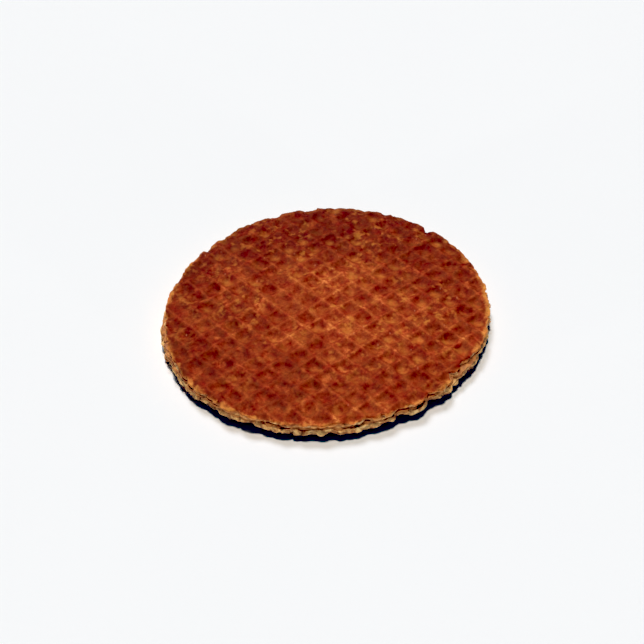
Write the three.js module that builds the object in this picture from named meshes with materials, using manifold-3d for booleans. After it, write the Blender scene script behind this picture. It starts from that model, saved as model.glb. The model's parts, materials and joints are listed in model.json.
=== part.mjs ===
// A stroopwafel: two thin waffle discs held together by a layer of dark syrup.
// Units are millimetres and +Z is up. The biscuit lies flat, its underside ridges on z = 0,
// and the middle of its outline is at the origin.

import * as THREE from 'three';
import { mergeVertices } from 'three/addons/utils/BufferGeometryUtils.js';
import Module from 'manifold-3d';

const wasm = await Module();
wasm.setup();

const { degToRad, euclideanModulo, lerp, seededRandom, smoothstep } = THREE.MathUtils;

// Heights of the layers at the middle of the biscuit.
const LOWER_WAFER_TOP = 3.45;
const FILLING_TOP = 4.2;
const BISCUIT_HEIGHT = 6.2;

// The cut outline: a disc a little longer one way than the other.
// Each lobe swings the radius in and out `count` times round the rim.
const DISC_RADIUS = 50.65;
const OUTLINE_LOBES = [
  { count: 1, swing: 0.28, toward: 91 },
  { count: 2, swing: 1.97, toward: 57.8 },
  { count: 3, swing: 0.34, toward: -22.3 },
];
const RIM_SEGMENTS = 138;

// The biscuit is thinner at its rim: the top slopes down a little and the underside lifts.
const TOP_FALL = 0.35;
const TOP_SLOPE_WIDTH = 15;
const UNDERSIDE_LIFT = 1.7;
const UNDERSIDE_SLOPE_WIDTH = 12;

// The waffle grid. Its lines are square to each other and turned from the long axis. Its cells
// are a little longer across the columns than across the rows.
const COLUMN_PITCH = 6.37;
const ROW_PITCH = 5.96;
const GRID_TURN = 42.3;
const GRID_OFFSET = [1.17, 3.1];
const RIDGE_WIDTH = 1.0;
const PIT_WALL_RUN = 0.85;
const TOP_PIT_DEPTH = 0.9;
const UNDERSIDE_PIT_DEPTH = 1.05;
const PIT_DEPTH_SPREAD = 0.15;
const RIDGE_HEIGHT_SPREAD = 0.12;
const RIDGE_PLACE_SPREAD = 0.16;

// Chips broken out of each rim, and lips where the rim runs out past the outline.
// `at` is degrees round from +X and `width` degrees along the rim. A lip has a negative depth.
const UPPER_CHIPS = [
  { at: 50, width: 4.5, depth: 1.9 },
  { at: 76, width: 4, depth: 0.9 },
  { at: 110, width: 6, depth: 1.1 },
  { at: 135, width: 4, depth: 0.8 },
  { at: 162, width: 5, depth: 0.9 },
  { at: 283, width: 5, depth: 0.9 },
  { at: 303, width: 5.5, depth: 1.5 },
  { at: 320.5, width: 5, depth: 2.0 },
];
const LOWER_CHIPS = [
  { at: 184, width: 30, depth: -1.3 },
  { at: 2, width: 24, depth: -0.7 },
  { at: 96, width: 16, depth: 0.6 },
  { at: 209, width: 8, depth: 1.0 },
  { at: 322, width: 7, depth: 0.9 },
];
const FILLING_HOLLOWS = [
  { at: 50, width: 9, depth: 1.6 },
  { at: 143, width: 12, depth: 1.1 },
  { at: 249, width: 5, depth: 1.6 },
  { at: 257, width: 4, depth: 1.2 },
  { at: 281, width: 5, depth: 1.6 },
  { at: 291, width: 5, depth: 1.4 },
  { at: 304, width: 5, depth: 1.5 },
  { at: 321, width: 6, depth: 1.9 },
];

// Each rim from the axis, out along the bottom, up the edge and back to the axis. `inset` is
// how far a row stands inside the outline and `rough` how far crumbs swing it in and out.
const CUT_MARGIN = 1;
const UPPER_RIM = [
  { onAxis: true, z: FILLING_TOP - CUT_MARGIN },
  { inset: 0.15, rough: 0.3, z: FILLING_TOP - CUT_MARGIN },
  { inset: 0.15, rough: 0.3, z: FILLING_TOP },
  { inset: -0.05, rough: 0.28, z: 4.85 },
  { inset: 0.05, rough: 0.16, z: 5.45 },
  { inset: 0.5, rough: 0.12, z: 5.85 },
  { inset: 2.0, rough: 0.1, z: 6.3 },
  { onAxis: true, z: BISCUIT_HEIGHT + CUT_MARGIN },
];
const LOWER_RIM = [
  { onAxis: true, z: -CUT_MARGIN },
  { inset: 4.5, rough: 0, z: -CUT_MARGIN },
  { inset: 0.9, rough: 0.3, z: 1.6 },
  { inset: 0.1, rough: 0.35, z: 2.2 },
  { inset: -0.15, rough: 0.35, z: 2.9 },
  { inset: 0.1, rough: 0.3, z: LOWER_WAFER_TOP },
  { inset: 0.1, rough: 0.3, z: LOWER_WAFER_TOP + CUT_MARGIN },
  { onAxis: true, z: LOWER_WAFER_TOP + CUT_MARGIN },
];
const FILLING_RIM = [
  { onAxis: true, z: LOWER_WAFER_TOP },
  { inset: 0.9, rough: 0.25, z: LOWER_WAFER_TOP },
  { inset: 0.55, rough: 0.3, z: (LOWER_WAFER_TOP + FILLING_TOP) / 2 },
  { inset: 0.8, rough: 0.25, z: FILLING_TOP },
  { onAxis: true, z: FILLING_TOP },
];
const CRUMBS_ROUND_RIM = 103;

// Slivers thinner than this are cleaned out of the cut solids.
const SLIVER = 0.05;

// A smooth random swing round the rim between -1 and 1, with `knots` random values on the way.
function rimNoise(seed, knots) {
  seededRandom(seed);
  const values = Array.from({ length: knots }, () => 2 * seededRandom() - 1);
  return (degrees) => {
    const place = euclideanModulo(degrees / 360, 1) * knots;
    const knot = Math.floor(place);
    return lerp(values[knot % knots], values[(knot + 1) % knots], smoothstep(place - knot, 0, 1));
  };
}

// How deep the chips bite at an angle. Each is a V, deepest at its middle.
function chipDepth(chips, degrees) {
  return chips.reduce((total, { at, width, depth }) => {
    const away = Math.abs(euclideanModulo(degrees - at + 180, 360) - 180);
    return total + depth * Math.max(0, 1 - away / (width / 2));
  }, 0);
}

function outlineRadius(degrees) {
  return OUTLINE_LOBES.reduce(
    (radius, { count, swing, toward }) => radius + swing * Math.cos(count * degToRad(degrees - toward)),
    DISC_RADIUS,
  );
}

// How far a point has gone into the sloping band that is `width` wide inside the outline:
// 0 at the band's inner edge and 1 at the rim.
function rimSlope(x, y, width) {
  const radius = outlineRadius(THREE.MathUtils.radToDeg(Math.atan2(y, x)));
  return smoothstep(Math.hypot(x, y), radius - width, radius);
}

function topSurface(x, y) {
  return BISCUIT_HEIGHT - TOP_FALL * rimSlope(x, y, TOP_SLOPE_WIDTH);
}

function undersideSurface(x, y) {
  return UNDERSIDE_LIFT * rimSlope(x, y, UNDERSIDE_SLOPE_WIDTH);
}

// Shared vertices and no normals, as a closed body for cutting. The flat triangles that a
// lathe leaves at its axis are dropped.
function toSolid(geometry) {
  geometry.deleteAttribute('normal');
  geometry.deleteAttribute('uv');
  const merged = mergeVertices(geometry);
  const corners = merged.index.array;
  const triangles = [];
  for (let i = 0; i < corners.length; i += 3) {
    const [a, b, c] = corners.slice(i, i + 3);
    if (a !== b && b !== c && c !== a) triangles.push(a, b, c);
  }
  const mesh = new wasm.Mesh({
    numProp: 3,
    vertProperties: merged.attributes.position.array,
    triVerts: new Uint32Array(triangles),
  });
  return new wasm.Manifold(mesh);
}

function toGeometry(solid) {
  const { vertProperties, triVerts } = solid.getMesh();
  const geometry = new THREE.BufferGeometry();
  geometry.setAttribute('position', new THREE.BufferAttribute(vertProperties, 3));
  geometry.setIndex(new THREE.BufferAttribute(triVerts, 1));
  geometry.computeVertexNormals();
  return geometry;
}

// A disc with a ragged rim: the rows turned round the axis, each pushed out to the outline,
// in at the chips, and in and out with the crumbs.
function raggedDisc(rows, chips, seed) {
  const profile = rows.map((row) => new THREE.Vector2(row.onAxis ? 0 : DISC_RADIUS, row.z));
  const geometry = new THREE.LatheGeometry(profile, RIM_SEGMENTS).rotateX(Math.PI / 2);
  const crumbs = rows.map((row, k) => rimNoise(seed + k, CRUMBS_ROUND_RIM));
  const position = geometry.attributes.position;
  for (let i = 0; i < position.count; i++) {
    const k = i % rows.length;
    const segment = Math.floor(i / rows.length) % RIM_SEGMENTS;
    const degrees = (segment * 360) / RIM_SEGMENTS;
    const { onAxis, inset, rough, z } = rows[k];
    const reach = outlineRadius(degrees) - chipDepth(chips, degrees);
    const radius = onAxis ? 0 : reach - inset + rough * crumbs[k](degrees);
    position.setXYZ(i, radius * Math.cos(degToRad(degrees)), radius * Math.sin(degToRad(degrees)), z);
  }
  return toSolid(geometry);
}

// Where the waffle grid's lines cross, counted from the crossing nearest the middle.
// `along` and `across` move the point off the crossing, in millimetres along the grid.
function gridPoint(column, row, along = 0, across = 0) {
  const point = new THREE.Vector2(
    column * COLUMN_PITCH + GRID_OFFSET[0] + along,
    row * ROW_PITCH + GRID_OFFSET[1] + across,
  );
  return point.rotateAround(new THREE.Vector2(), degToRad(GRID_TURN));
}

// A square slab with the waffle grid on one face and a flat back at `backZ`. Each cell is a
// ridge frame, four sloping walls and a pit floor. `facing` is 1 for a grid on top and -1 for
// one underneath, `surface` gives the height of the ridges, and `uneven` scales their spread.
function waffleSlab({ surface, backZ, facing, pitDepth, uneven, seed }) {
  const half = Math.ceil((DISC_RADIUS + 2 * COLUMN_PITCH) / ROW_PITCH);
  const count = 2 * half + 1;
  const points = [];
  const faces = [];
  const spread = (size) => size * (2 * seededRandom() - 1);
  const addPoint = (x, y, z) => points.push(x, y, z) / 3 - 1;
  const addQuad = (a, b, c, d) => faces.push(a, b, c, a, c, d);

  seededRandom(seed);
  const crossings = [];
  for (let n = 0; n < count * count; n++) {
    const shift = [spread(uneven * RIDGE_PLACE_SPREAD), spread(uneven * RIDGE_PLACE_SPREAD)];
    const column = (n % count) - half;
    const row = Math.floor(n / count) - half;
    const { x, y } = gridPoint(column, row, ...shift);
    const z = surface(x, y) + spread(uneven * RIDGE_HEIGHT_SPREAD);
    crossings.push({ column, row, shift, z, ridge: addPoint(x, y, z), back: addPoint(x, y, backZ) });
  }

  // One corner of a pit, pulled in from its crossing towards the middle of the cell.
  const pitCorner = (crossing, [towardColumn, towardRow], inset, drop) => {
    const along = crossing.shift[0] + towardColumn * inset;
    const across = crossing.shift[1] + towardRow * inset;
    const { x, y } = gridPoint(crossing.column, crossing.row, along, across);
    return addPoint(x, y, crossing.z - facing * drop);
  };
  const inward = [[1, 1], [-1, 1], [-1, -1], [1, -1]];

  for (let j = 0; j < count - 1; j++) {
    for (let i = 0; i < count - 1; i++) {
      const start = j * count + i;
      const frame = [start, start + 1, start + count + 1, start + count].map((n) => crossings[n]);
      const depth = pitDepth + spread(PIT_DEPTH_SPREAD);
      const rim = frame.map((crossing, k) => pitCorner(crossing, inward[k], RIDGE_WIDTH / 2, 0));
      const floorInset = RIDGE_WIDTH / 2 + PIT_WALL_RUN;
      const floor = frame.map((crossing, k) => pitCorner(crossing, inward[k], floorInset, depth));
      const outer = [j === 0, i === count - 2, j === count - 2, i === 0];
      for (let k = 0; k < 4; k++) {
        const next = (k + 1) % 4;
        addQuad(frame[k].ridge, frame[next].ridge, rim[next], rim[k]);
        addQuad(rim[k], rim[next], floor[next], floor[k]);
        if (outer[k]) addQuad(frame[k].ridge, frame[k].back, frame[next].back, frame[next].ridge);
      }
      addQuad(...floor);
      addQuad(frame[0].back, frame[3].back, frame[2].back, frame[1].back);
    }
  }

  const geometry = new THREE.BufferGeometry();
  geometry.setAttribute('position', new THREE.Float32BufferAttribute(points, 3));
  geometry.setIndex(facing > 0 ? faces : faces.reverse());
  return toSolid(geometry);
}

function biscuitMesh(name, solid, color, roughness) {
  const material = new THREE.MeshStandardMaterial({ color, roughness, metalness: 0 });
  const mesh = new THREE.Mesh(toGeometry(solid), material);
  mesh.name = name;
  return mesh;
}

// The upper half: pits on top, a browned rounded rim and a flat back on the syrup.
function upperWafer() {
  const slab = waffleSlab({
    surface: topSurface,
    backZ: FILLING_TOP,
    facing: 1,
    pitDepth: TOP_PIT_DEPTH,
    uneven: 1,
    seed: 11,
  });
  const cut = slab.intersect(raggedDisc(UPPER_RIM, UPPER_CHIPS, 100));
  return biscuitMesh('upper_wafer', cut.simplify(SLIVER), 0x9c4522, 0.6);
}

// The dark syrup between the halves, shrunk back from the rim in places.
function syrupFilling() {
  return biscuitMesh('syrup_filling', raggedDisc(FILLING_RIM, FILLING_HOLLOWS, 200), 0x45200f, 0.3);
}

// The lower half: a flat top under the syrup, a pale crumbly edge that leans in below, and
// pits underneath. Its ridges are level, so the biscuit rests flat.
function lowerWafer() {
  const slab = waffleSlab({
    surface: undersideSurface,
    backZ: LOWER_WAFER_TOP,
    facing: -1,
    pitDepth: UNDERSIDE_PIT_DEPTH,
    uneven: 0,
    seed: 12,
  });
  const cut = slab.intersect(raggedDisc(LOWER_RIM, LOWER_CHIPS, 300));
  return biscuitMesh('lower_wafer', cut.simplify(SLIVER), 0xb07a4b, 0.75);
}

const stroopwafel = new THREE.Group();
stroopwafel.add(upperWafer(), syrupFilling(), lowerWafer());

const middle = new THREE.Box3().setFromObject(stroopwafel).getCenter(new THREE.Vector3());
stroopwafel.position.set(-middle.x, -middle.y, 0);

export default stroopwafel;
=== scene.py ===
import json
import math

import bpy
from mathutils import Matrix, Vector, noise

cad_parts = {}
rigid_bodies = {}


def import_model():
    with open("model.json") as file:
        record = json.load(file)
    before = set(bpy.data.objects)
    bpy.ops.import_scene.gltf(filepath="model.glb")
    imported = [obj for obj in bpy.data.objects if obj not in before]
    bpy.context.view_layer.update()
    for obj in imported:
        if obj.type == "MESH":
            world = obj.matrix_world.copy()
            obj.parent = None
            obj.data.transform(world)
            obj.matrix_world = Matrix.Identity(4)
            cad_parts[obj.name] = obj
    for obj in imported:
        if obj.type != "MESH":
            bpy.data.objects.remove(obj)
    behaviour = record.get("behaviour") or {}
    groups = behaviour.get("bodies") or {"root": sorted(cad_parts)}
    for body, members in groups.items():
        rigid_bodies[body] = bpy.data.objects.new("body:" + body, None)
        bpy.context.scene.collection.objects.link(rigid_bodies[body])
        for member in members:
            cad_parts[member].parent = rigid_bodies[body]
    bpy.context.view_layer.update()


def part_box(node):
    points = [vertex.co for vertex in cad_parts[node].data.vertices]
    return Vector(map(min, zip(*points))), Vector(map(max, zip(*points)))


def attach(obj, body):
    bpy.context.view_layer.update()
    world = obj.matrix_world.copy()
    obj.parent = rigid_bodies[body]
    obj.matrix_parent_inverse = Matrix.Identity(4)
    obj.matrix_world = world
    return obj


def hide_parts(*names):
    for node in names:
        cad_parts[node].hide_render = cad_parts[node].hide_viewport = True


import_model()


# ---------------------------------------------------------------------------------------------
# Lower wafer
# The bottom half of a thin yeast waffle that was baked in an iron, cut round and split while
# hot. It lies with its pits down. The crust is browned and the cut rim shows the dry crumb. On
# the near side the rim turns in, with painted shade on its foot, and lifts clear of the table.
# ---------------------------------------------------------------------------------------------

MM = 0.001
POLE = Vector((0.206, 0.018, 0.0)) * MM     # where the outline and the grid are laid out from

DISC_RADIUS = 50.65 * MM
OUTLINE_LOBES = (                           # count round the rim, swing, direction in degrees
    (1, 0.28 * MM, 91.0),
    (2, 1.97 * MM, 57.8),
    (3, 0.34 * MM, -22.3),
)
RIM_STEPS = 1000

GRID_PITCHES = (6.37 * MM, 5.96 * MM)       # along the grid's first and second direction
GRID_TURN = math.radians(42.3)
GRID_CENTRE = (1.17 * MM, -2.86 * MM)       # the middle crossing, along the grid
GRID_CELLS = (18, 20)
CELL_FACES = 5                              # faces from one ridge to the next
SHEET_MARGIN = 4.5 * MM                     # how far the baked sheet reaches past the disc
FLOOR_BUMPS = 0.20 * MM                     # half of the points on the pits' floors stand up by this
BAKED_WOBBLE = 0.24 * MM                    # how far any point of the sheet may stray
SHEET_SMOOTHING = 2
SMOOTH_ANGLE = math.radians(42)             # sharper edges than this stay sharp

LOWER_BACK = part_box("lower_wafer")[1].z     # height of the split face, where the syrup lies
BACK_TOLERANCE = 0.02 * MM
UNDERSIDE_DROPS = (0.50 * MM, 0.45 * MM)    # from a ridge to a pit's wall, from the wall to its floor
UNDERSIDE_LIFT = 0.90 * MM                  # how far the near rim stands off the table
UNDERSIDE_SLOPE = 12.0 * MM                 # how far in from the rim it starts to rise
REST_SIDE = 152.0                           # degrees round from +X: where the rim lies on the table
REST_SPREAD = (55, 66)                      # degrees from there: still on the table, fully lifted
FOOT_HEIGHTS = (0.8 * MM, 2.4 * MM)         # between these the resting foot passes into the rim
RIM_BAND = 6 * MM                           # how far in from the disc's edge the crumb has creases

# Chips and lips of the rim: degrees round from +X, degrees wide, depth. A lip's is below zero.
LOWER_CHIPS = (
    (4, 20, -0.5 * MM),
    (96, 16, 0.6 * MM),
    (189, 34, -0.35 * MM),
    (206, 8, 1.2 * MM),
    (231, 9, 0.9 * MM),
    (246, 8, 1.5 * MM),
    (263, 8, -0.7 * MM),
    (277, 12, -0.8 * MM),
    (296, 7, 1.3 * MM),
    (302, 6, -0.9 * MM),
    (308, 8, 0.8 * MM),
    (324, 12, 1.1 * MM),
)
# Rows of the rim from the bottom up: height, how far inside the outline, share of the crumbs' relief.
LOWER_RIM = (
    (-1.0 * MM, 5.0 * MM, 0.0),
    (0.60 * MM, 1.65 * MM, 0.4),
    (1.00 * MM, 1.05 * MM, 0.8),
    (1.35 * MM, 0.50 * MM, 1.0),
    (1.65 * MM, 0.10 * MM, 1.0),
    (1.90 * MM, -0.12 * MM, 1.0),
    (2.10 * MM, -0.22 * MM, 1.0),
    (2.32 * MM, -0.26 * MM, 1.0),
    (2.60 * MM, -0.22 * MM, 1.0),
    (2.90 * MM, -0.14 * MM, 1.0),
    (3.20 * MM, -0.06 * MM, 0.9),
    (3.45 * MM, 0.02 * MM, 0.8),
    (4.45 * MM, 0.02 * MM, 0.8),
)


def outline_reach(turn):
    """Radius of the cut outline at an angle in degrees."""
    lobes = (swing * math.cos(count * math.radians(turn - toward))
             for count, swing, toward in OUTLINE_LOBES)
    return DISC_RADIUS + sum(lobes)


def chip_depth(chips, turn):
    """How deep the chips bite into the rim at an angle in degrees."""
    total = 0.0
    for at, width, depth in chips:
        away = abs((turn - at + 180) % 360 - 180)
        total += depth * max(0.0, 1 - away / (width / 2))
    return total


def smooth(x, low, high):
    """0 below low, 1 above high and an even S between."""
    t = min(1.0, max(0.0, (x - low) / (high - low)))
    return t * t * (3 - 2 * t)


def rim_slope(x, y, width):
    """0 inside the sloping band round the rim, rising to 1 at the outline."""
    x, y = x - POLE.x, y - POLE.y
    reach = outline_reach(math.degrees(math.atan2(y, x)))
    return smooth(math.hypot(x, y), reach - width, reach)


def rim_lift(turn):
    """How far the underside's rim stands off the table at an angle in degrees."""
    away = abs((turn - REST_SIDE + 180) % 360 - 180)
    return UNDERSIDE_LIFT * smooth(away, *REST_SPREAD)


# Widths of the torn crumb's shapes in millimetres. The blocks lie flat, so heights count for more.
CRUMB_FLATNESS = 1.6
BLOCK_WIDTH = 3.1
BLOCK_BEND_WIDTH = 0.9
SWELL_WIDTH = 3.6
HOLE_WIDTH = 1.7
GRIT_WIDTH = 1.1
TEAR_WIDTH = 3.3
FINE_TEAR_WIDTH = 1.2
noise.seed_set(4)                           # the blocks' bends are laid out from this seed


def crumb_relief(out, z):
    """How far torn crumb stands out in a direction at a height, and how deep in a crease it lies."""
    place = Vector((out.x * DISC_RADIUS, out.y * DISC_RADIUS, CRUMB_FLATNESS * z)) / MM
    bend = 0.12 * noise.noise_vector(place / BLOCK_BEND_WIDTH)
    nearest, second = noise.voronoi(place / BLOCK_WIDTH + bend)[0][:2]
    crease = 1 - smooth(second - nearest, 0.0, 0.20)
    hole = smooth(noise.noise(place / HOLE_WIDTH + Vector((7, 3, 1))), 0.28, 0.50)
    grit = noise.voronoi(place / GRIT_WIDTH)[0][0]
    stand = 0.16 + 0.55 * noise.noise(place / SWELL_WIDTH) + 1.05 * (0.5 - nearest) - 0.20 * crease
    stand += 0.22 * (0.5 - grit) - 0.65 * hole
    return stand * MM, max(crease, hole)


def start_piece(name):
    """Names the primitive that was just added and opens it for editing, all selected."""
    piece = bpy.context.object
    piece.name = piece.data.name = name
    bpy.ops.object.mode_set(mode="EDIT")
    bpy.ops.mesh.select_all(action="SELECT")
    return piece


def select_where(piece, kind, test):
    """In edit mode: selects just the items whose middle and ends pass the test."""
    bpy.ops.mesh.select_all(action="DESELECT")
    bpy.ops.mesh.select_mode(type={"vertices": "VERT", "edges": "EDGE", "polygons": "FACE"}[kind])
    bpy.ops.object.mode_set(mode="OBJECT")
    mesh = piece.data
    for item in getattr(mesh, kind):
        ends = [item.co] if kind == "vertices" else [mesh.vertices[v].co for v in item.vertices]
        item.select = test(sum(ends, Vector()) / len(ends), ends)
    bpy.ops.object.mode_set(mode="EDIT")


def settle(piece):
    """Leaves edit mode with the object at the origin, its place in its mesh."""
    bpy.ops.object.mode_set(mode="OBJECT")
    bpy.ops.object.transform_apply(location=True, rotation=True, scale=True)
    return piece


def finish_with(piece, kind, **settings):
    """Adds a modifier to the piece and applies it."""
    bpy.context.view_layer.objects.active = piece
    bpy.ops.object.modifier_add(type=kind)
    modifier = piece.modifiers[-1]
    for key, value in settings.items():
        setattr(modifier, key, value)
    bpy.ops.object.modifier_apply(modifier=modifier.name)


def depth_ring(place):
    """0 on the ridges of the grid, 1 on the pits' walls and 2 on their floors."""
    along = Matrix.Rotation(-GRID_TURN, 3, "Z") @ (place - POLE)
    rings = []
    for way, pitch in enumerate(GRID_PITCHES):
        count = round((along[way] - GRID_CENTRE[way]) / (pitch / CELL_FACES)) % CELL_FACES
        rings.append(min(count, CELL_FACES - count))
    return min(rings)


def waffle_sheet(name, facing, drops, seed):
    """The face of a waffle iron as a sheet at z = 0: a grid of soft ridges round square pits."""
    bpy.ops.object.select_all(action="DESELECT")
    centre = POLE + Matrix.Rotation(GRID_TURN, 3, "Z") @ Vector((*GRID_CENTRE, 0))
    columns, rows = GRID_CELLS
    bpy.ops.mesh.primitive_grid_add(
        x_subdivisions=columns * CELL_FACES,
        y_subdivisions=rows * CELL_FACES,
        size=1.0,
        location=centre,
        rotation=(0, 0, GRID_TURN),
    )
    size = (columns * GRID_PITCHES[0], rows * GRID_PITCHES[1], 1.0)
    bpy.ops.transform.resize(value=size, orient_type="LOCAL")
    sheet = settle(start_piece(name))
    bpy.ops.object.mode_set(mode="EDIT")
    sheet_reach = DISC_RADIUS + SHEET_MARGIN
    select_where(sheet, "polygons", lambda middle, ends: (middle - POLE).length > sheet_reach)
    bpy.ops.mesh.delete(type="FACE")
    bpy.ops.mesh.select_all(action="SELECT")
    if facing < 0:
        bpy.ops.mesh.flip_normals()
    for ring, drop in enumerate(drops, 1):
        select_where(sheet, "vertices", lambda place, ends: depth_ring(place) >= ring)
        bpy.ops.transform.translate(value=(0, 0, -facing * drop))
    bpy.ops.mesh.select_random(ratio=0.5, seed=seed, action="DESELECT")
    bpy.ops.transform.translate(value=(0, 0, facing * FLOOR_BUMPS))
    bpy.ops.mesh.select_all(action="SELECT")
    bpy.ops.transform.vertex_random(offset=BAKED_WOBBLE, seed=seed)
    settle(sheet)
    finish_with(sheet, "SUBSURF", levels=SHEET_SMOOTHING, render_levels=SHEET_SMOOTHING)
    return sheet


# Widths of the baked face's swellings in millimetres.
WAVE_WIDTH = 17
PRESSURE_WIDTH = 8.0
BLISTER_WIDTH = 2.1
GRAIN_WIDTH = 0.9


def roughen(mesh, level, facing, wave, blister, grain, seed):
    """Lifts a sheet to its level and gives it waves, uneven pits, blisters and a baked grain."""
    shift = Vector((seed, 0.3 * seed, 0))
    for vertex in mesh.vertices:
        place = Vector((vertex.co.x, vertex.co.y, 0)) / MM
        swing = wave * noise.noise(place / WAVE_WIDTH + shift)
        swing += blister * noise.noise(place / BLISTER_WIDTH + shift)
        swing += grain * noise.noise(place / GRAIN_WIDTH + shift)
        pressed = 1.0 + 0.9 * noise.noise(place / PRESSURE_WIDTH - shift)
        height = level(vertex.co.x, vertex.co.y) + vertex.co.z * pressed + facing * swing
        vertex.co.z = max(0.0, height)


def close_back(sheet, back):
    """Runs the sheet's edge to a flat back and closes it, as a slab."""
    bpy.context.view_layer.objects.active = sheet
    bpy.ops.object.mode_set(mode="EDIT")
    bpy.ops.mesh.select_mode(type="EDGE")
    bpy.ops.mesh.select_all(action="DESELECT")
    bpy.ops.mesh.select_non_manifold()
    bpy.ops.mesh.extrude_edges_move()
    bpy.ops.object.mode_set(mode="OBJECT")
    for vertex in sheet.data.vertices:
        if vertex.select:
            vertex.co.z = back
    bpy.ops.object.mode_set(mode="EDIT")
    bpy.ops.mesh.edge_face_add()
    bpy.ops.mesh.select_all(action="SELECT")
    bpy.ops.mesh.normals_make_consistent(inside=False)
    bpy.ops.object.mode_set(mode="OBJECT")


def upright(middle, ends):
    """Whether an edge of a new drum runs up its wall."""
    return abs(ends[0].z - ends[1].z) > 0.1 * MM


def drum(name, low, high, rows):
    """A closed drum round the pole. Its wall has this many rows of points, both ends counted."""
    bpy.ops.object.select_all(action="DESELECT")
    bpy.ops.mesh.primitive_cylinder_add(
        vertices=RIM_STEPS,
        radius=DISC_RADIUS,
        depth=high - low,
        location=POLE + Vector((0, 0, (low + high) / 2)),
        end_fill_type="NGON",
    )
    piece = start_piece(name)
    select_where(piece, "edges", upright)
    bpy.ops.mesh.subdivide(number_cuts=rows - 2)
    return settle(piece)


def ragged_rim(name, rows, chips, crust_above):
    """The body that the outline is cut with: a drum whose wall is crumbly and chipped."""
    low, high = rows[0][0], rows[-1][0]
    rim = drum(name, low, high, len(rows))
    spacing = (high - low) / (len(rows) - 1)
    for vertex in rim.data.vertices:
        z, inset, rough = rows[round((vertex.co.z - low) / spacing)]
        out = (vertex.co - POLE).xy.normalized()
        turn = math.degrees(math.atan2(out.y, out.x))
        place = Vector((out.x * DISC_RADIUS, out.y * DISC_RADIUS, z)) / MM
        ragged = 0.55 * noise.noise(place / TEAR_WIDTH + Vector((3, 9, 4)))
        ragged += 0.30 * noise.noise(place / FINE_TEAR_WIDTH)
        settled = (1 - rim_lift(turn) / UNDERSIDE_LIFT) * (1 - smooth(z, *FOOT_HEIGHTS))
        inset *= 1 - settled
        z += ragged * rough * MM - settled * UNDERSIDE_LIFT
        stand = crumb_relief(out, z)[0]
        reach = outline_reach(turn) - chip_depth(chips, turn) - inset + rough * stand
        vertex.co = (POLE.x + out.x * reach, POLE.y + out.y * reach, z)
    for face in rim.data.polygons:
        face.material_index = 1 if face.center.z < crust_above else 0
    return rim


def cut_out(sheet, rim, back):
    """Keeps what both bodies share: crust outside, crumb on the cut rim and on the split face."""
    for body in (sheet, rim):
        body.data.materials.append(baked_crust)
        body.data.materials.append(cut_crumb)
    finish_with(sheet, "BOOLEAN", operation="INTERSECT", object=rim, solver="MANIFOLD")
    bpy.data.objects.remove(rim)
    for face in sheet.data.polygons:
        if abs(face.center.z - back) < BACK_TOLERANCE:
            face.material_index = 1
    bpy.ops.object.select_all(action="DESELECT")
    sheet.select_set(True)
    bpy.ops.object.shade_smooth_by_angle(angle=SMOOTH_ANGLE)


def measure_hollows(mesh, level, facing, depth):
    """Stores how far each point lies down in a pit: 0 on the ridges and 1 on the floors."""
    hollow = mesh.attributes.new("hollow", "FLOAT", "POINT")
    for vertex in mesh.vertices:
        below = facing * (level(vertex.co.x, vertex.co.y) - vertex.co.z)
        hollow.data[vertex.index].value = below / depth


def measure_creases(mesh):
    """Stores how deep in a crease or hole of the torn crumb each point near the rim lies, for the painted
    shade there.
    """
    crease = mesh.attributes.new("crease", "FLOAT", "POINT")
    for vertex in mesh.vertices:
        from_pole = (vertex.co - POLE).xy
        if from_pole.length > DISC_RADIUS - RIM_BAND:
            crease.data[vertex.index].value = crumb_relief(from_pole.normalized(), vertex.co.z)[1]


baked_crust = bpy.data.materials.new("browned_crust")
cut_crumb = bpy.data.materials.new("pale_cut_crumb")


def srgb(red, green, blue):
    """A colour given as on a screen, 0 to 255, as the light that a shader mixes."""
    return (*(((c / 255 + 0.055) / 1.055) ** 2.4 for c in (red, green, blue)), 1.0)


def add(tree, kind, inputs=(), **settings):
    """Adds a node. An input's value is a number, a colour or the socket that feeds it."""
    node = tree.nodes.new("ShaderNode" + kind)
    for key, value in settings.items():
        setattr(node, key, value)
    for key, value in dict(inputs).items():
        if isinstance(value, bpy.types.NodeSocket):
            tree.links.new(value, node.inputs[key])
        else:
            node.inputs[key].default_value = value
    return node


def maths(tree, operation, a, b=0.0, c=0.0, clamp=False):
    """One sum on numbers or on the sockets that feed them."""
    return add(tree, "Math", {0: a, 1: b, 2: c}, operation=operation, use_clamp=clamp).outputs[0]


def vector_maths(tree, operation, *inputs):
    """One sum on vectors or on the sockets that feed them."""
    return add(tree, "VectorMath", enumerate(inputs), operation=operation).outputs[0]


def length(tree, vector):
    """How long a vector is."""
    return add(tree, "VectorMath", {0: vector}, operation="LENGTH").outputs["Value"]


def ramp(tree, value, low, high, start=0.0, end=1.0):
    """An even S from start to end as the value goes from low to high."""
    inputs = {"Value": value, "From Min": low, "From Max": high, "To Min": start, "To Max": end}
    return add(tree, "MapRange", inputs, interpolation_type="SMOOTHSTEP").outputs["Result"]


def blend(tree, share, first, second):
    """Two colours mixed, by the share of the second."""
    node = add(tree, "Mix", data_type="RGBA")
    for socket, value in zip((node.inputs[0], node.inputs[6], node.inputs[7]), (share, first, second)):
        if isinstance(value, bpy.types.NodeSocket):
            tree.links.new(value, socket)
        else:
            socket.default_value = value
    return node.outputs[2]


def stops(tree, value, colours):
    """A run of colours along a value from 0 to 1."""
    node = add(tree, "ValToRGB", {0: value})
    steps = node.color_ramp.elements
    while len(steps) < len(colours):
        steps.new(0.5)
    for step, (at, colour) in zip(steps, colours):
        step.position, step.color = at, colour
    return node.outputs[0]


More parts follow.
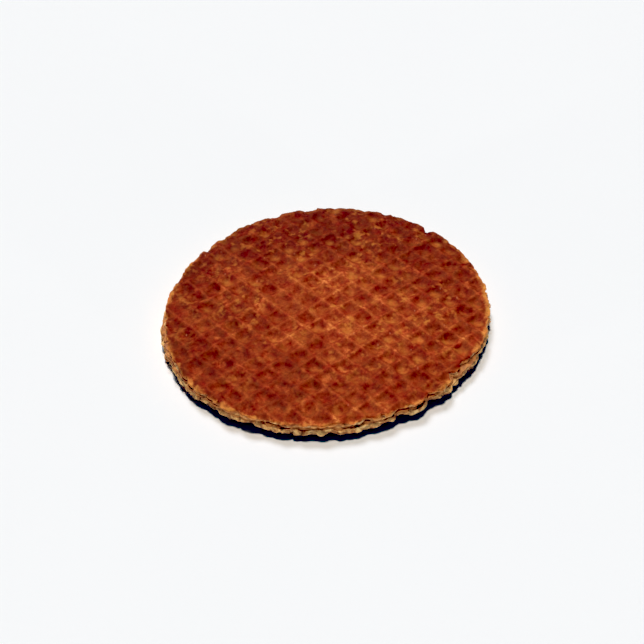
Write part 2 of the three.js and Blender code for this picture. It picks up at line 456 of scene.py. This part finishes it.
def cloud(tree, place, scale, detail=3.0, roughness=0.55, distortion=0.0, outlet=0):
    """Soft noise about 0.5. Outlet 1 gives three of them as a colour."""
    inputs = {
        "Vector": place,
        "Scale": scale,
        "Detail": detail,
        "Roughness": roughness,
        "Distortion": distortion,
    }
    return add(tree, "TexNoise", inputs).outputs[outlet]


def measured_from(tree, where, middle, turn, size):
    """A place measured from a middle, in steps of a size, along a frame turned by an angle."""
    inputs = {"Vector": where, "Location": middle, "Rotation": (0, 0, turn), "Scale": size}
    return add(tree, "Mapping", inputs, vector_type="TEXTURE").outputs[0]


def new_group(name, inputs, outputs):
    """An empty shader group with its sockets made, and its two end nodes."""
    group = bpy.data.node_groups.new(name, "ShaderNodeTree")
    for direction, sockets in (("INPUT", inputs), ("OUTPUT", outputs)):
        for label, kind in sockets:
            group.interface.new_socket(label, in_out=direction, socket_type="NodeSocket" + kind)
    return group, group.nodes.new("NodeGroupInput").outputs, group.nodes.new("NodeGroupOutput").inputs


def baked_grain_group():
    """The baked surface's fine grain: height for bump, speckle, and pores darkened as painted shade."""
    group, given, out = new_group(
        "baked_grain", (("Place", "Vector"), ("Size", "Float")),
        (("Height", "Float"), ("Speckle", "Float"), ("Pores", "Float")))
    scale = maths(group, "DIVIDE", 1.0, given["Size"])
    coarse = cloud(group, given["Place"], scale, 4.0, 0.6)
    fine = cloud(group, given["Place"], maths(group, "MULTIPLY", scale, 3.1), 3.0, 0.6)
    pore_scale = maths(group, "MULTIPLY", scale, 1.3)
    cells = add(group, "TexVoronoi", {"Vector": given["Place"], "Scale": pore_scale})
    pores = ramp(group, cells.outputs["Distance"], 0.05, 0.30, 1.0, 0.0)
    height = maths(group, "MULTIPLY_ADD", fine, 0.45, coarse)
    height = maths(group, "MULTIPLY_ADD", pores, -0.35, height)
    group.links.new(height, out["Height"])
    group.links.new(ramp(group, fine, 0.35, 0.68), out["Speckle"])
    group.links.new(pores, out["Pores"])
    return group


baked_grain = baked_grain_group()


def grain_in(tree, place, size):
    """The baked grain's height, speckle and pores at a place, for grains of a size in millimetres."""
    node = add(tree, "Group", node_tree=baked_grain)
    tree.links.new(place, node.inputs["Place"])
    node.inputs["Size"].default_value = size
    return node.outputs


def surface_of(material):
    """A material's fresh tree and shader, and the place on the piece in metres and millimetres."""
    material.use_nodes = True
    tree = material.node_tree
    tree.nodes.clear()
    shader = add(tree, "BsdfPrincipled")
    add(tree, "OutputMaterial", {"Surface": shader.outputs[0]})
    where = add(tree, "TexCoord").outputs["Object"]
    place = add(tree, "Mapping", {"Vector": where, "Scale": (1 / MM,) * 3}).outputs[0]
    return tree, shader, where, place


def grid_cell(tree, where, place):
    """The place in a cell of the grid, 0 to 1 both ways, and each cell's luck for painted shade on its
    pit's walls and for a golden floor.
    """
    grid_centre = POLE + Matrix.Rotation(GRID_TURN, 3, "Z") @ Vector((*GRID_CENTRE, 0))
    cells = measured_from(tree, where, grid_centre, GRID_TURN, (*GRID_PITCHES, 1.0))
    # The ridges wander a little.
    wander = cloud(tree, place, 0.45, 1.5, 0.5, outlet=1)
    wander = vector_maths(tree, "SUBTRACT", wander, (0.5, 0.5, 0.5))
    cells = vector_maths(tree, "MULTIPLY_ADD", wander, (0.26, 0.26, 0.0), cells)
    cell = vector_maths(tree, "FLOOR", cells)
    cell = vector_maths(tree, "MULTIPLY", cell, (1, 1, 0))
    wall_shade_luck, lucks = add(tree, "TexWhiteNoise", {"Vector": cell}, noise_dimensions="3D").outputs[:2]
    golden_luck = ramp(tree, add(tree, "SeparateXYZ", {0: lucks}).outputs[1], 0.35, 0.80)
    return vector_maths(tree, "SUBTRACT", cells, cell), wall_shade_luck, golden_luck


def cell_mark(tree, in_cell, middle, size, turn=0.0):
    """A soft patch in every cell: 1 at its middle and 0 at its edge. The turn is in degrees."""
    any_height = 1e6
    patch = measured_from(tree, in_cell, (*middle, 0), math.radians(turn), (*size, any_height))
    return ramp(tree, length(tree, patch), 0.2, 1.0, 1.0, 0.0)


def disc_outness(tree, where):
    """How far out on the disc: 0 at the pole and 1 at the outline."""
    stretch, toward = OUTLINE_LOBES[1][1:]
    axes = (DISC_RADIUS + stretch, DISC_RADIUS - stretch, 1.0)
    disc = measured_from(tree, where, POLE, math.radians(toward), axes)
    return length(tree, vector_maths(tree, "MULTIPLY", disc, (1, 1, 0)))


def paint_crust(material):
    """Browned waffle crust with golden patches, painted shade on the pits' walls, painted highlights on the
    ridges and painted glints.
    """
    tree, shader, where, place = surface_of(material)
    grain = grain_in(tree, place, 0.9)
    hollow = add(tree, "Attribute", attribute_name="hollow").outputs["Fac"]
    ridge = ramp(tree, hollow, 0.00, 0.22, 1.0, 0.0)
    sideways, forwards = add(tree, "SeparateXYZ", {0: where}).outputs[:2]
    far_side = ramp(tree, forwards, 5 * MM, 50 * MM)
    left_side = ramp(tree, sideways, -48 * MM, -18 * MM, 1.0, 0.0)
    outness = disc_outness(tree, where)

    # Painted shade on two walls of every pit and a painted lit floor, more in some cells than others.
    # On the far side they turn over into painted light on the walls and painted shade on the floors,
    # and on the left one wall gets painted light; this evens out the relief's own shading there.
    in_cell, wall_shade_luck, golden_luck = grid_cell(tree, where, place)
    luck = maths(tree, "MULTIPLY", maths(tree, "MULTIPLY_ADD", wall_shade_luck, 0.6, 0.65),
                 maths(tree, "MULTIPLY_ADD", far_side, -2.2, 1.0))
    left_wall = maths(tree, "MULTIPLY", cell_mark(tree, in_cell, (0.73, 0.42), (0.20, 0.52), -17),
                      ramp(tree, sideways, -20 * MM, 35 * MM, 1.2, 0.5))
    right_wall = maths(tree, "MULTIPLY", cell_mark(tree, in_cell, (0.40, 0.81), (0.42, 0.20), 14),
                       ramp(tree, sideways, -45 * MM, 28 * MM, -1.4, 0.8))
    painted_pit_shade = maths(tree, "MULTIPLY", maths(tree, "ADD", left_wall, right_wall), luck)
    floor_mark = cell_mark(tree, in_cell, (0.36, 0.42), (0.36, 0.46))
    painted_lit_floor = maths(tree, "MULTIPLY", maths(tree, "MULTIPLY", floor_mark, luck),
                        ramp(tree, forwards, -35 * MM, 5 * MM, 1.0, 0.2))
    golden_floor = maths(tree, "MULTIPLY", floor_mark, golden_luck)

    # Painted highlight on the ridges' crests, in patches and most where they cross, and in thin threads.
    from_middle = vector_maths(tree, "ABSOLUTE", vector_maths(tree, "SUBTRACT", in_cell, (0.5, 0.5, 0)))
    across, along = add(tree, "SeparateXYZ", {0: from_middle}).outputs[:2]
    crossing = maths(tree, "MULTIPLY", ramp(tree, across, 0.30, 0.46), ramp(tree, along, 0.30, 0.46))
    crest_patches = maths(tree, "MULTIPLY", ramp(tree, cloud(tree, place, 0.13, 3.0), 0.38, 0.58, 0.45, 1.0),
                 maths(tree, "MULTIPLY_ADD", far_side, -0.5, 1.0))
    crest = maths(tree, "MAXIMUM", ramp(tree, across, 0.41, 0.48), ramp(tree, along, 0.41, 0.485, 0.0, 0.8))
    painted_crest_highlight = maths(tree, "MULTIPLY", crest, crest_patches)
    painted_glint_thread = maths(tree, "ABSOLUTE", maths(tree, "SUBTRACT", cloud(tree, place, 0.8, 2.0, 0.5, 0.8), 0.5))
    painted_glint_thread = ramp(tree, painted_glint_thread, 0.0, 0.035, 1.0, 0.0)

    # The batter spreads a little further from front to back than across.
    spread = add(tree, "Mapping", {"Vector": place, "Scale": (1.0, 0.70, 1.0)}).outputs[0]
    mottle = cloud(tree, spread, 0.42, 4.0, 0.62, 0.4)
    patch = ramp(tree, cloud(tree, spread, 0.28, 3.0, 0.55), 0.56, 0.68)
    rim = ramp(tree, maths(tree, "MULTIPLY_ADD", mottle, 0.10, outness), 1.022, 1.062)
    rim = maths(tree, "MULTIPLY", rim, maths(tree, "MULTIPLY_ADD", far_side, -0.8, 1.0))

    # The colour as one tone from dark, 0, to light, 1: each field swings it about a middle. The ridges,
    # crests and threads get painted highlight and the lit floors painted light; the pores and the pits'
    # walls get painted shade. The far and the left side are darker, and the middle lighter.
    tone = maths(tree, "ADD", ramp(tree, outness, 0.05, 0.70, 0.12, -0.07), 0.43)
    for field, middle, swing in (
        (cloud(tree, place, 0.06, 2.0), 0.5, 0.5),
        (mottle, 0.5, 0.70),
        (patch, 0.1, 0.25),
        (cloud(tree, place, 0.9, 2.0, 0.5, 0.8), 0.5, 0.62),
        (grain["Speckle"], 0.5, 0.12),
        (grain["Pores"], 0.1, -0.15),
        (ridge, 0.2, 0.05),
        (painted_crest_highlight, 0.12, 0.18),
        (crossing, 0.1, 0.05),
        (painted_glint_thread, 0.3, 0.05),
        (painted_pit_shade, 0.2, -0.12),
        (painted_lit_floor, 0.1, 0.14),
        (far_side, 0.0, -0.24),
        (left_side, 0.0, -0.14),
        (rim, 0.0, 0.15),
    ):
        tone = maths(tree, "ADD", tone, maths(tree, "MULTIPLY_ADD", field, swing, -middle * swing))
    colour = stops(tree, tone, (
        (0.00, srgb(127, 65, 31)),
        (0.22, srgb(143, 72, 34)),
        (0.48, srgb(165, 84, 39)),
        (0.75, srgb(192, 103, 50)),
        (1.00, srgb(227, 139, 71)),
    ))

    # Golden smears and pit floors, but not along the near and the left side, and a golden rim.
    smear = ramp(tree, cloud(tree, place, 0.45, 2.0), 0.52, 0.70)
    smear = maths(tree, "MULTIPLY", smear, ramp(tree, cloud(tree, place, 0.09, 2.0), 0.42, 0.60))
    floor_areas = ramp(tree, cloud(tree, place, 0.05, 2.0), 0.40, 0.58, 0.15, 1.0)
    floor_spots = ramp(tree, cloud(tree, place, 0.7, 2.0), 0.36, 0.54, 0.6, 1.0)
    golden_floor = maths(tree, "MULTIPLY", golden_floor, maths(tree, "MULTIPLY", floor_areas, floor_spots))
    near_left = maths(tree, "MULTIPLY_ADD", left_side, 0.5,
                      ramp(tree, forwards, -42 * MM, -8 * MM, 0.6, 0.0))
    golden = maths(tree, "MULTIPLY", maths(tree, "MAXIMUM", smear, golden_floor),
                   maths(tree, "SUBTRACT", 1.0, near_left, clamp=True))
    colour = blend(tree, maths(tree, "MULTIPLY", golden, 0.55), colour, srgb(216, 138, 60))
    colour = blend(tree, maths(tree, "MULTIPLY", rim, 0.72), colour, srgb(238, 168, 80))

    # Redder and yellower flecks.
    flecks = cloud(tree, spread, 0.44, 3.0, 0.55)
    flecks = vector_maths(tree, "MULTIPLY_ADD", flecks, (0.36, 1.20, 1.0), (0.82, 0.35, 0.56))
    colour = vector_maths(tree, "MULTIPLY", colour, flecks)

    # Painted glints: pale streaks, in patches.
    streaks = add(tree, "Mapping", {
        "Vector": place,
        "Rotation": (0, 0, GRID_TURN),
        "Scale": (0.62, 0.24, 0.5),
    }).outputs[0]
    glint_cells = add(tree, "TexVoronoi", {"Vector": streaks, "Scale": 1.0})
    glint_luck = add(tree, "SeparateXYZ", {0: glint_cells.outputs["Color"]}).outputs[0]
    glint_luck = maths(tree, "ADD", glint_luck, cloud(tree, place, 0.05, 1.0))
    painted_glint = maths(tree, "MULTIPLY", ramp(tree, glint_cells.outputs["Distance"], 0.04, 0.17, 1.0, 0.0),
                  ramp(tree, glint_luck, 1.34, 1.46, 0.0, 0.45))
    colour = blend(tree, painted_glint, colour, srgb(220, 148, 104))
    tree.links.new(colour, shader.inputs["Base Color"])

    roughness = maths(tree, "MULTIPLY_ADD", grain["Height"], 0.30, 0.42)
    tree.links.new(roughness, shader.inputs["Roughness"])
    bump = add(tree, "Bump", {"Height": grain["Height"], "Strength": 0.40, "Distance": 0.16 * MM})
    tree.links.new(bump.outputs[0], shader.inputs["Normal"])
    shader.inputs["Specular IOR Level"].default_value = 0.12
    shader.inputs["Specular Tint"].default_value = srgb(255, 190, 140)


# The middle of the syrup seam, from which the crumb's browning is measured.
SEAM = (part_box("syrup_filling")[0].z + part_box("syrup_filling")[1].z) / 2


def paint_crumb(material):
    """The cut edge: pale dry crumb, toasted at the lip, with painted shade in its pores, creases and holes
    and on the lifted foot.
    """
    tree, shader, where, place = surface_of(material)
    grain = grain_in(tree, place, 0.7)
    crease = add(tree, "Attribute", attribute_name="crease").outputs["Fac"]
    mottle = cloud(tree, place, 0.55, 4.0, 0.6)
    height = add(tree, "SeparateXYZ", {0: where}).outputs[2]
    level = maths(tree, "MULTIPLY_ADD", mottle, 1.2 * MM, maths(tree, "SUBTRACT", height, SEAM))
    toasted_lip = ramp(tree, level, 0.9 * MM, 1.9 * MM)
    # Painted shade darkens the foot where it stands clear of the table, and fades where it rests on it.
    rest_side = (math.cos(math.radians(REST_SIDE)), math.sin(math.radians(REST_SIDE)), 0)
    rest_reach = add(tree, "VectorMath", {0: where, 1: rest_side}, operation="DOT_PRODUCT").outputs["Value"]
    painted_foot_shade = maths(tree, "MULTIPLY", ramp(tree, level, -1.5 * MM, -0.8 * MM, 0.95, 0.0),
                       ramp(tree, rest_reach, 22 * MM, 34 * MM, 1.0, 0.1))
    reddened = ramp(tree, cloud(tree, place, 0.30, 3.0), 0.53, 0.63, 0.0, 0.60)
    creamy = ramp(tree, cloud(tree, place, 0.19, 2.0), 0.54, 0.66, 0.0, 0.65)

    colour = blend(tree, ramp(tree, mottle, 0.35, 0.65), srgb(220, 152, 84), srgb(255, 208, 132))
    # Painted shade darkens the pores, the creases and holes of the torn crumb, and the lifted foot.
    for share, tint in (
        (maths(tree, "MULTIPLY", grain["Speckle"], 0.35), srgb(255, 226, 156)),
        (maths(tree, "MULTIPLY", grain["Pores"], 0.45), srgb(160, 92, 46)),
        (toasted_lip, srgb(228, 148, 76)),
        (reddened, srgb(172, 100, 48)),
        (creamy, srgb(255, 226, 160)),
        (maths(tree, "MULTIPLY", crease, 0.55), srgb(146, 78, 42)),
        (painted_foot_shade, srgb(104, 58, 34)),
    ):
        colour = blend(tree, share, colour, tint)
    tree.links.new(colour, shader.inputs["Base Color"])
    bump = add(tree, "Bump", {"Height": grain["Height"], "Strength": 0.9, "Distance": 0.22 * MM})
    tree.links.new(bump.outputs[0], shader.inputs["Normal"])
    shader.inputs["Roughness"].default_value = 0.85
    shader.inputs["Specular IOR Level"].default_value = 0.3


paint_crust(baked_crust)
paint_crumb(cut_crumb)


def underside_level(x, y):
    """Height of the underside's ridges: on the table, and lifted towards the near rim."""
    turn = math.degrees(math.atan2(y - POLE.y, x - POLE.x))
    return rim_lift(turn) * rim_slope(x, y, UNDERSIDE_SLOPE)


lower_wafer = waffle_sheet("lower_waffle", -1, UNDERSIDE_DROPS, seed=20)
roughen(lower_wafer.data, underside_level, -1, wave=0.0, blister=0.05 * MM, grain=0.03 * MM, seed=5)
close_back(lower_wafer, LOWER_BACK)
lower_rim = ragged_rim("lower_rim", LOWER_RIM, LOWER_CHIPS, crust_above=10 * MM)
cut_out(lower_wafer, lower_rim, LOWER_BACK)
measure_hollows(lower_wafer.data, underside_level, -1, sum(UNDERSIDE_DROPS))
measure_creases(lower_wafer.data)
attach(lower_wafer, "root")
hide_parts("lower_wafer")


# ---------------------------------------------------------------------------------------------
# Syrup filling
# Dark sugar syrup, spread while warm between the halves and set soft. It shows as a thin seam,
# dusty with crumbs, that swells out in some places and has shrunk into hollows in others.
# ---------------------------------------------------------------------------------------------

SYRUP_LOW, SYRUP_HIGH = (corner.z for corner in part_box("syrup_filling"))
# Hollows of the seam: degrees round from +X, degrees wide, depth.
SYRUP_HOLLOWS = (
    (50, 9, 1.6 * MM),
    (143, 12, 1.1 * MM),
    (249, 5, 1.6 * MM),
    (257, 4, 1.2 * MM),
    (281, 5, 1.6 * MM),
    (291, 5, 1.4 * MM),
    (304, 5, 1.5 * MM),
    (321, 6, 1.9 * MM),
)
SYRUP_ROWS = 9
SYRUP_INSET = 0.02 * MM
SYRUP_BULGE = 0.08 * MM                     # how much further its middle stands out than its edges
SYRUP_SHARE = 0.9                           # of the crumb's relief that the syrup follows

dark_syrup = bpy.data.materials.new("dark_syrup")


def paint_syrup(material):
    """Set sugar syrup: amber brown, softly shining and dusted with crumbs."""
    tree, shader, _, place = surface_of(material)
    swirl = cloud(tree, place, 0.5, 3.0, 0.5, 0.6)
    dust = grain_in(tree, place, 0.8)
    colour = blend(tree, ramp(tree, swirl, 0.3, 0.7), srgb(160, 98, 50), srgb(206, 142, 78))
    colour = blend(tree, maths(tree, "MULTIPLY", dust["Speckle"], 0.3), colour, srgb(200, 140, 80))
    tree.links.new(colour, shader.inputs["Base Color"])
    tree.links.new(ramp(tree, swirl, 0.3, 0.7, 0.5, 0.8), shader.inputs["Roughness"])
    bump = add(tree, "Bump", {"Height": swirl, "Strength": 0.5, "Distance": 0.3 * MM})
    tree.links.new(bump.outputs[0], shader.inputs["Normal"])
    shader.inputs["Specular IOR Level"].default_value = 0.2


paint_syrup(dark_syrup)

syrup = drum("syrup_layer", SYRUP_LOW, SYRUP_HIGH, SYRUP_ROWS)
for vertex in syrup.data.vertices:
    out = (vertex.co - POLE).xy.normalized()
    turn = math.degrees(math.atan2(out.y, out.x))
    level = (vertex.co.z - SEAM) / ((SYRUP_HIGH - SYRUP_LOW) / 2)
    reach = outline_reach(turn) - SYRUP_INSET - chip_depth(SYRUP_HOLLOWS, turn)
    reach += SYRUP_SHARE * crumb_relief(out, vertex.co.z)[0]
    reach -= SYRUP_BULGE * level * level
    vertex.co.xy = POLE.xy + out * reach
syrup.data.materials.append(dark_syrup)
bpy.ops.object.shade_smooth_by_angle(angle=SMOOTH_ANGLE)
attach(syrup, "root")
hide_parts("syrup_filling")


# ---------------------------------------------------------------------------------------------
# Upper wafer
# The other half of the split waffle, pressed onto the warm syrup with its pits up. The iron
# rounded its rim a little, crumbs and chips are broken out of it, and its top falls slightly
# towards the edge.
# ---------------------------------------------------------------------------------------------

UPPER_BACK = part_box("upper_wafer")[0].z     # height of the split face, on the syrup
UPPER_TOP = 6.2 * MM
TOP_DROPS = (0.56 * MM, 0.46 * MM)          # from a ridge to a pit's wall, from the wall to its floor
TOP_FALL = 0.35 * MM                        # how much lower the top is at the rim
TOP_SLOPE = 15.0 * MM                       # how far in from the rim it starts to fall
# Chips of the rim: degrees round from +X, degrees wide, depth.
UPPER_CHIPS = (
    (50, 4.5, 1.9 * MM),
    (76, 4, 0.9 * MM),
    (110, 6, 1.1 * MM),
    (135, 4, 0.8 * MM),
    (162, 5, 0.9 * MM),
    (195, 36, 1.2 * MM),
    (218, 26, 0.8 * MM),
    (231, 10, 0.8 * MM),
    (252, 8, 0.8 * MM),
    (283, 5, 0.9 * MM),
    (296, 9, 1.1 * MM),
    (308, 9, 1.4 * MM),
    (320.5, 5, 2.0 * MM),
    (328, 14, 1.3 * MM),
    (328, 28, 1.0 * MM),
)
# Rows of the rim from the bottom up, as the lower wafer's.
UPPER_RIM = (
    (3.20 * MM, 0.05 * MM, 0.9),
    (4.20 * MM, 0.05 * MM, 0.9),
    (4.42 * MM, -0.02 * MM, 0.9),
    (4.66 * MM, -0.08 * MM, 0.9),
    (4.90 * MM, -0.11 * MM, 0.85),
    (5.14 * MM, -0.09 * MM, 0.8),
    (5.36 * MM, -0.03 * MM, 0.7),
    (5.56 * MM, 0.12 * MM, 0.6),
    (5.72 * MM, 0.28 * MM, 0.5),
    (5.84 * MM, 0.52 * MM, 0.4),
    (5.93 * MM, 0.90 * MM, 0.3),
    (6.02 * MM, 1.60 * MM, 0.1),
    (7.00 * MM, 4.00 * MM, 0.0),
)


def top_level(x, y):
    """Height of the top's ridges, which falls towards the rim."""
    return UPPER_TOP - TOP_FALL * rim_slope(x, y, TOP_SLOPE)


upper_wafer = waffle_sheet("upper_waffle", 1, TOP_DROPS, seed=40)
roughen(upper_wafer.data, top_level, 1, wave=0.22 * MM, blister=0.20 * MM, grain=0.12 * MM, seed=9)
close_back(upper_wafer, UPPER_BACK)
upper_rim = ragged_rim("upper_rim", UPPER_RIM, UPPER_CHIPS, crust_above=5.20 * MM)
cut_out(upper_wafer, upper_rim, UPPER_BACK)
measure_hollows(upper_wafer.data, top_level, 1, sum(TOP_DROPS))
measure_creases(upper_wafer.data)
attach(upper_wafer, "root")
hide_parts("upper_wafer")


# ---------------------------------------------------------------------------------------------
# Stage
# A pale paper floor, a warm lamp high above, a cooler soft one behind, two low fill lamps at the
# front corners, a pale backdrop all round, and the camera.
# ---------------------------------------------------------------------------------------------

FLOOR_SIZE = 8.0
LAMP_DISTANCE = 0.5
DARKEST = (0.100, 0.052, 0.018)             # red, green and blue light that is shown as black

bpy.ops.object.select_all(action="DESELECT")
bpy.ops.mesh.primitive_plane_add(size=FLOOR_SIZE)
floor = bpy.context.object
floor.name = "floor"
paper = bpy.data.materials.new("matt_white_paper")
paper_tree, paper_shader, _, paper_place = surface_of(paper)
paper_cloud = cloud(paper_tree, paper_place, 0.02, 2.0)
paper_tone = blend(paper_tree, paper_cloud, srgb(243, 244, 244), srgb(244, 245, 245))
paper_tree.links.new(paper_tone, paper_shader.inputs["Base Color"])
paper_shader.inputs["Roughness"].default_value = 0.9
paper_shader.inputs["Specular IOR Level"].default_value = 0.1
floor.data.materials.append(paper)

# Name, degrees round from +Y towards +X, degrees of height, strength, softness in degrees, tint.
LAMPS = (
    ("high_warm_lamp", -4, 80, 2.08, 7, (1.0, 0.93, 0.83)),
    ("low_cool_lamp", -16, 54, 1.84, 18, (0.755, 0.848, 1.0)),
    ("left_fill", 235, 1.5, 0.75, 4, (1.0, 0.97, 0.92)),
    ("right_fill", 140, 1.5, 0.75, 4, (1.0, 0.97, 0.92)),
)
for name, around, height, strength, softness, tint in LAMPS:
    lamp = bpy.data.objects.new(name, bpy.data.lights.new(name, "SUN"))
    lamp.data.energy = strength
    lamp.data.angle = math.radians(softness)
    lamp.data.color = tint
    side, rise = math.radians(around), math.radians(height)
    towards = Vector((math.sin(side) * math.cos(rise), math.cos(side) * math.cos(rise), math.sin(rise)))
    lamp.rotation_euler = (-towards).to_track_quat("-Z", "Y").to_euler()
    lamp.location = towards * LAMP_DISTANCE
    bpy.context.scene.collection.objects.link(lamp)

# The surroundings give a faint cool light and are seen as a pale backdrop.
world = bpy.data.worlds.new("studio")
world.use_nodes = True
world_tree = world.node_tree
room_light = world_tree.nodes["Background"]
room_light.inputs["Color"].default_value = (0.8, 0.82, 0.92, 1.0)
room_light.inputs["Strength"].default_value = 0.03
backdrop = add(world_tree, "Background", {"Color": (0.95, 0.95, 0.95, 1.0), "Strength": 1.0})
seen = add(world_tree, "LightPath").outputs["Is Camera Ray"]
room = add(world_tree, "MixShader", {0: seen, 1: room_light.outputs[0], 2: backdrop.outputs[0]})
world_tree.links.new(room.outputs[0], world_tree.nodes["World Output"].inputs["Surface"])
bpy.context.scene.world = world
view = bpy.context.scene.view_settings
view.view_transform = "Standard"
view.use_curve_mapping = True
view.curve_mapping.black_level = DARKEST
view.curve_mapping.update()

CAMERA_DISTANCE = 400 * MM
CAMERA_RISE = math.radians(40)
LENS = 72.6
AIM_LEFT = 1.45 * MM                        # how far left of the top's middle the camera looks
AIM_BELOW = 5.11 * MM                       # and how far below it
back = Vector((0, -math.cos(CAMERA_RISE), math.sin(CAMERA_RISE)))
up = Vector((0, math.sin(CAMERA_RISE), math.cos(CAMERA_RISE)))
subject = POLE + Vector((0, 0, UPPER_TOP))
aim = subject - Vector((AIM_LEFT, 0, 0)) - up * AIM_BELOW
camera = bpy.data.objects.new("camera", bpy.data.cameras.new("camera"))
camera.data.lens = LENS
camera.data.clip_start = 0.01
camera.location = subject + back * CAMERA_DISTANCE
camera.rotation_euler = (aim - camera.location).to_track_quat("-Z", "Y").to_euler()
bpy.context.scene.collection.objects.link(camera)
bpy.context.scene.camera = camera
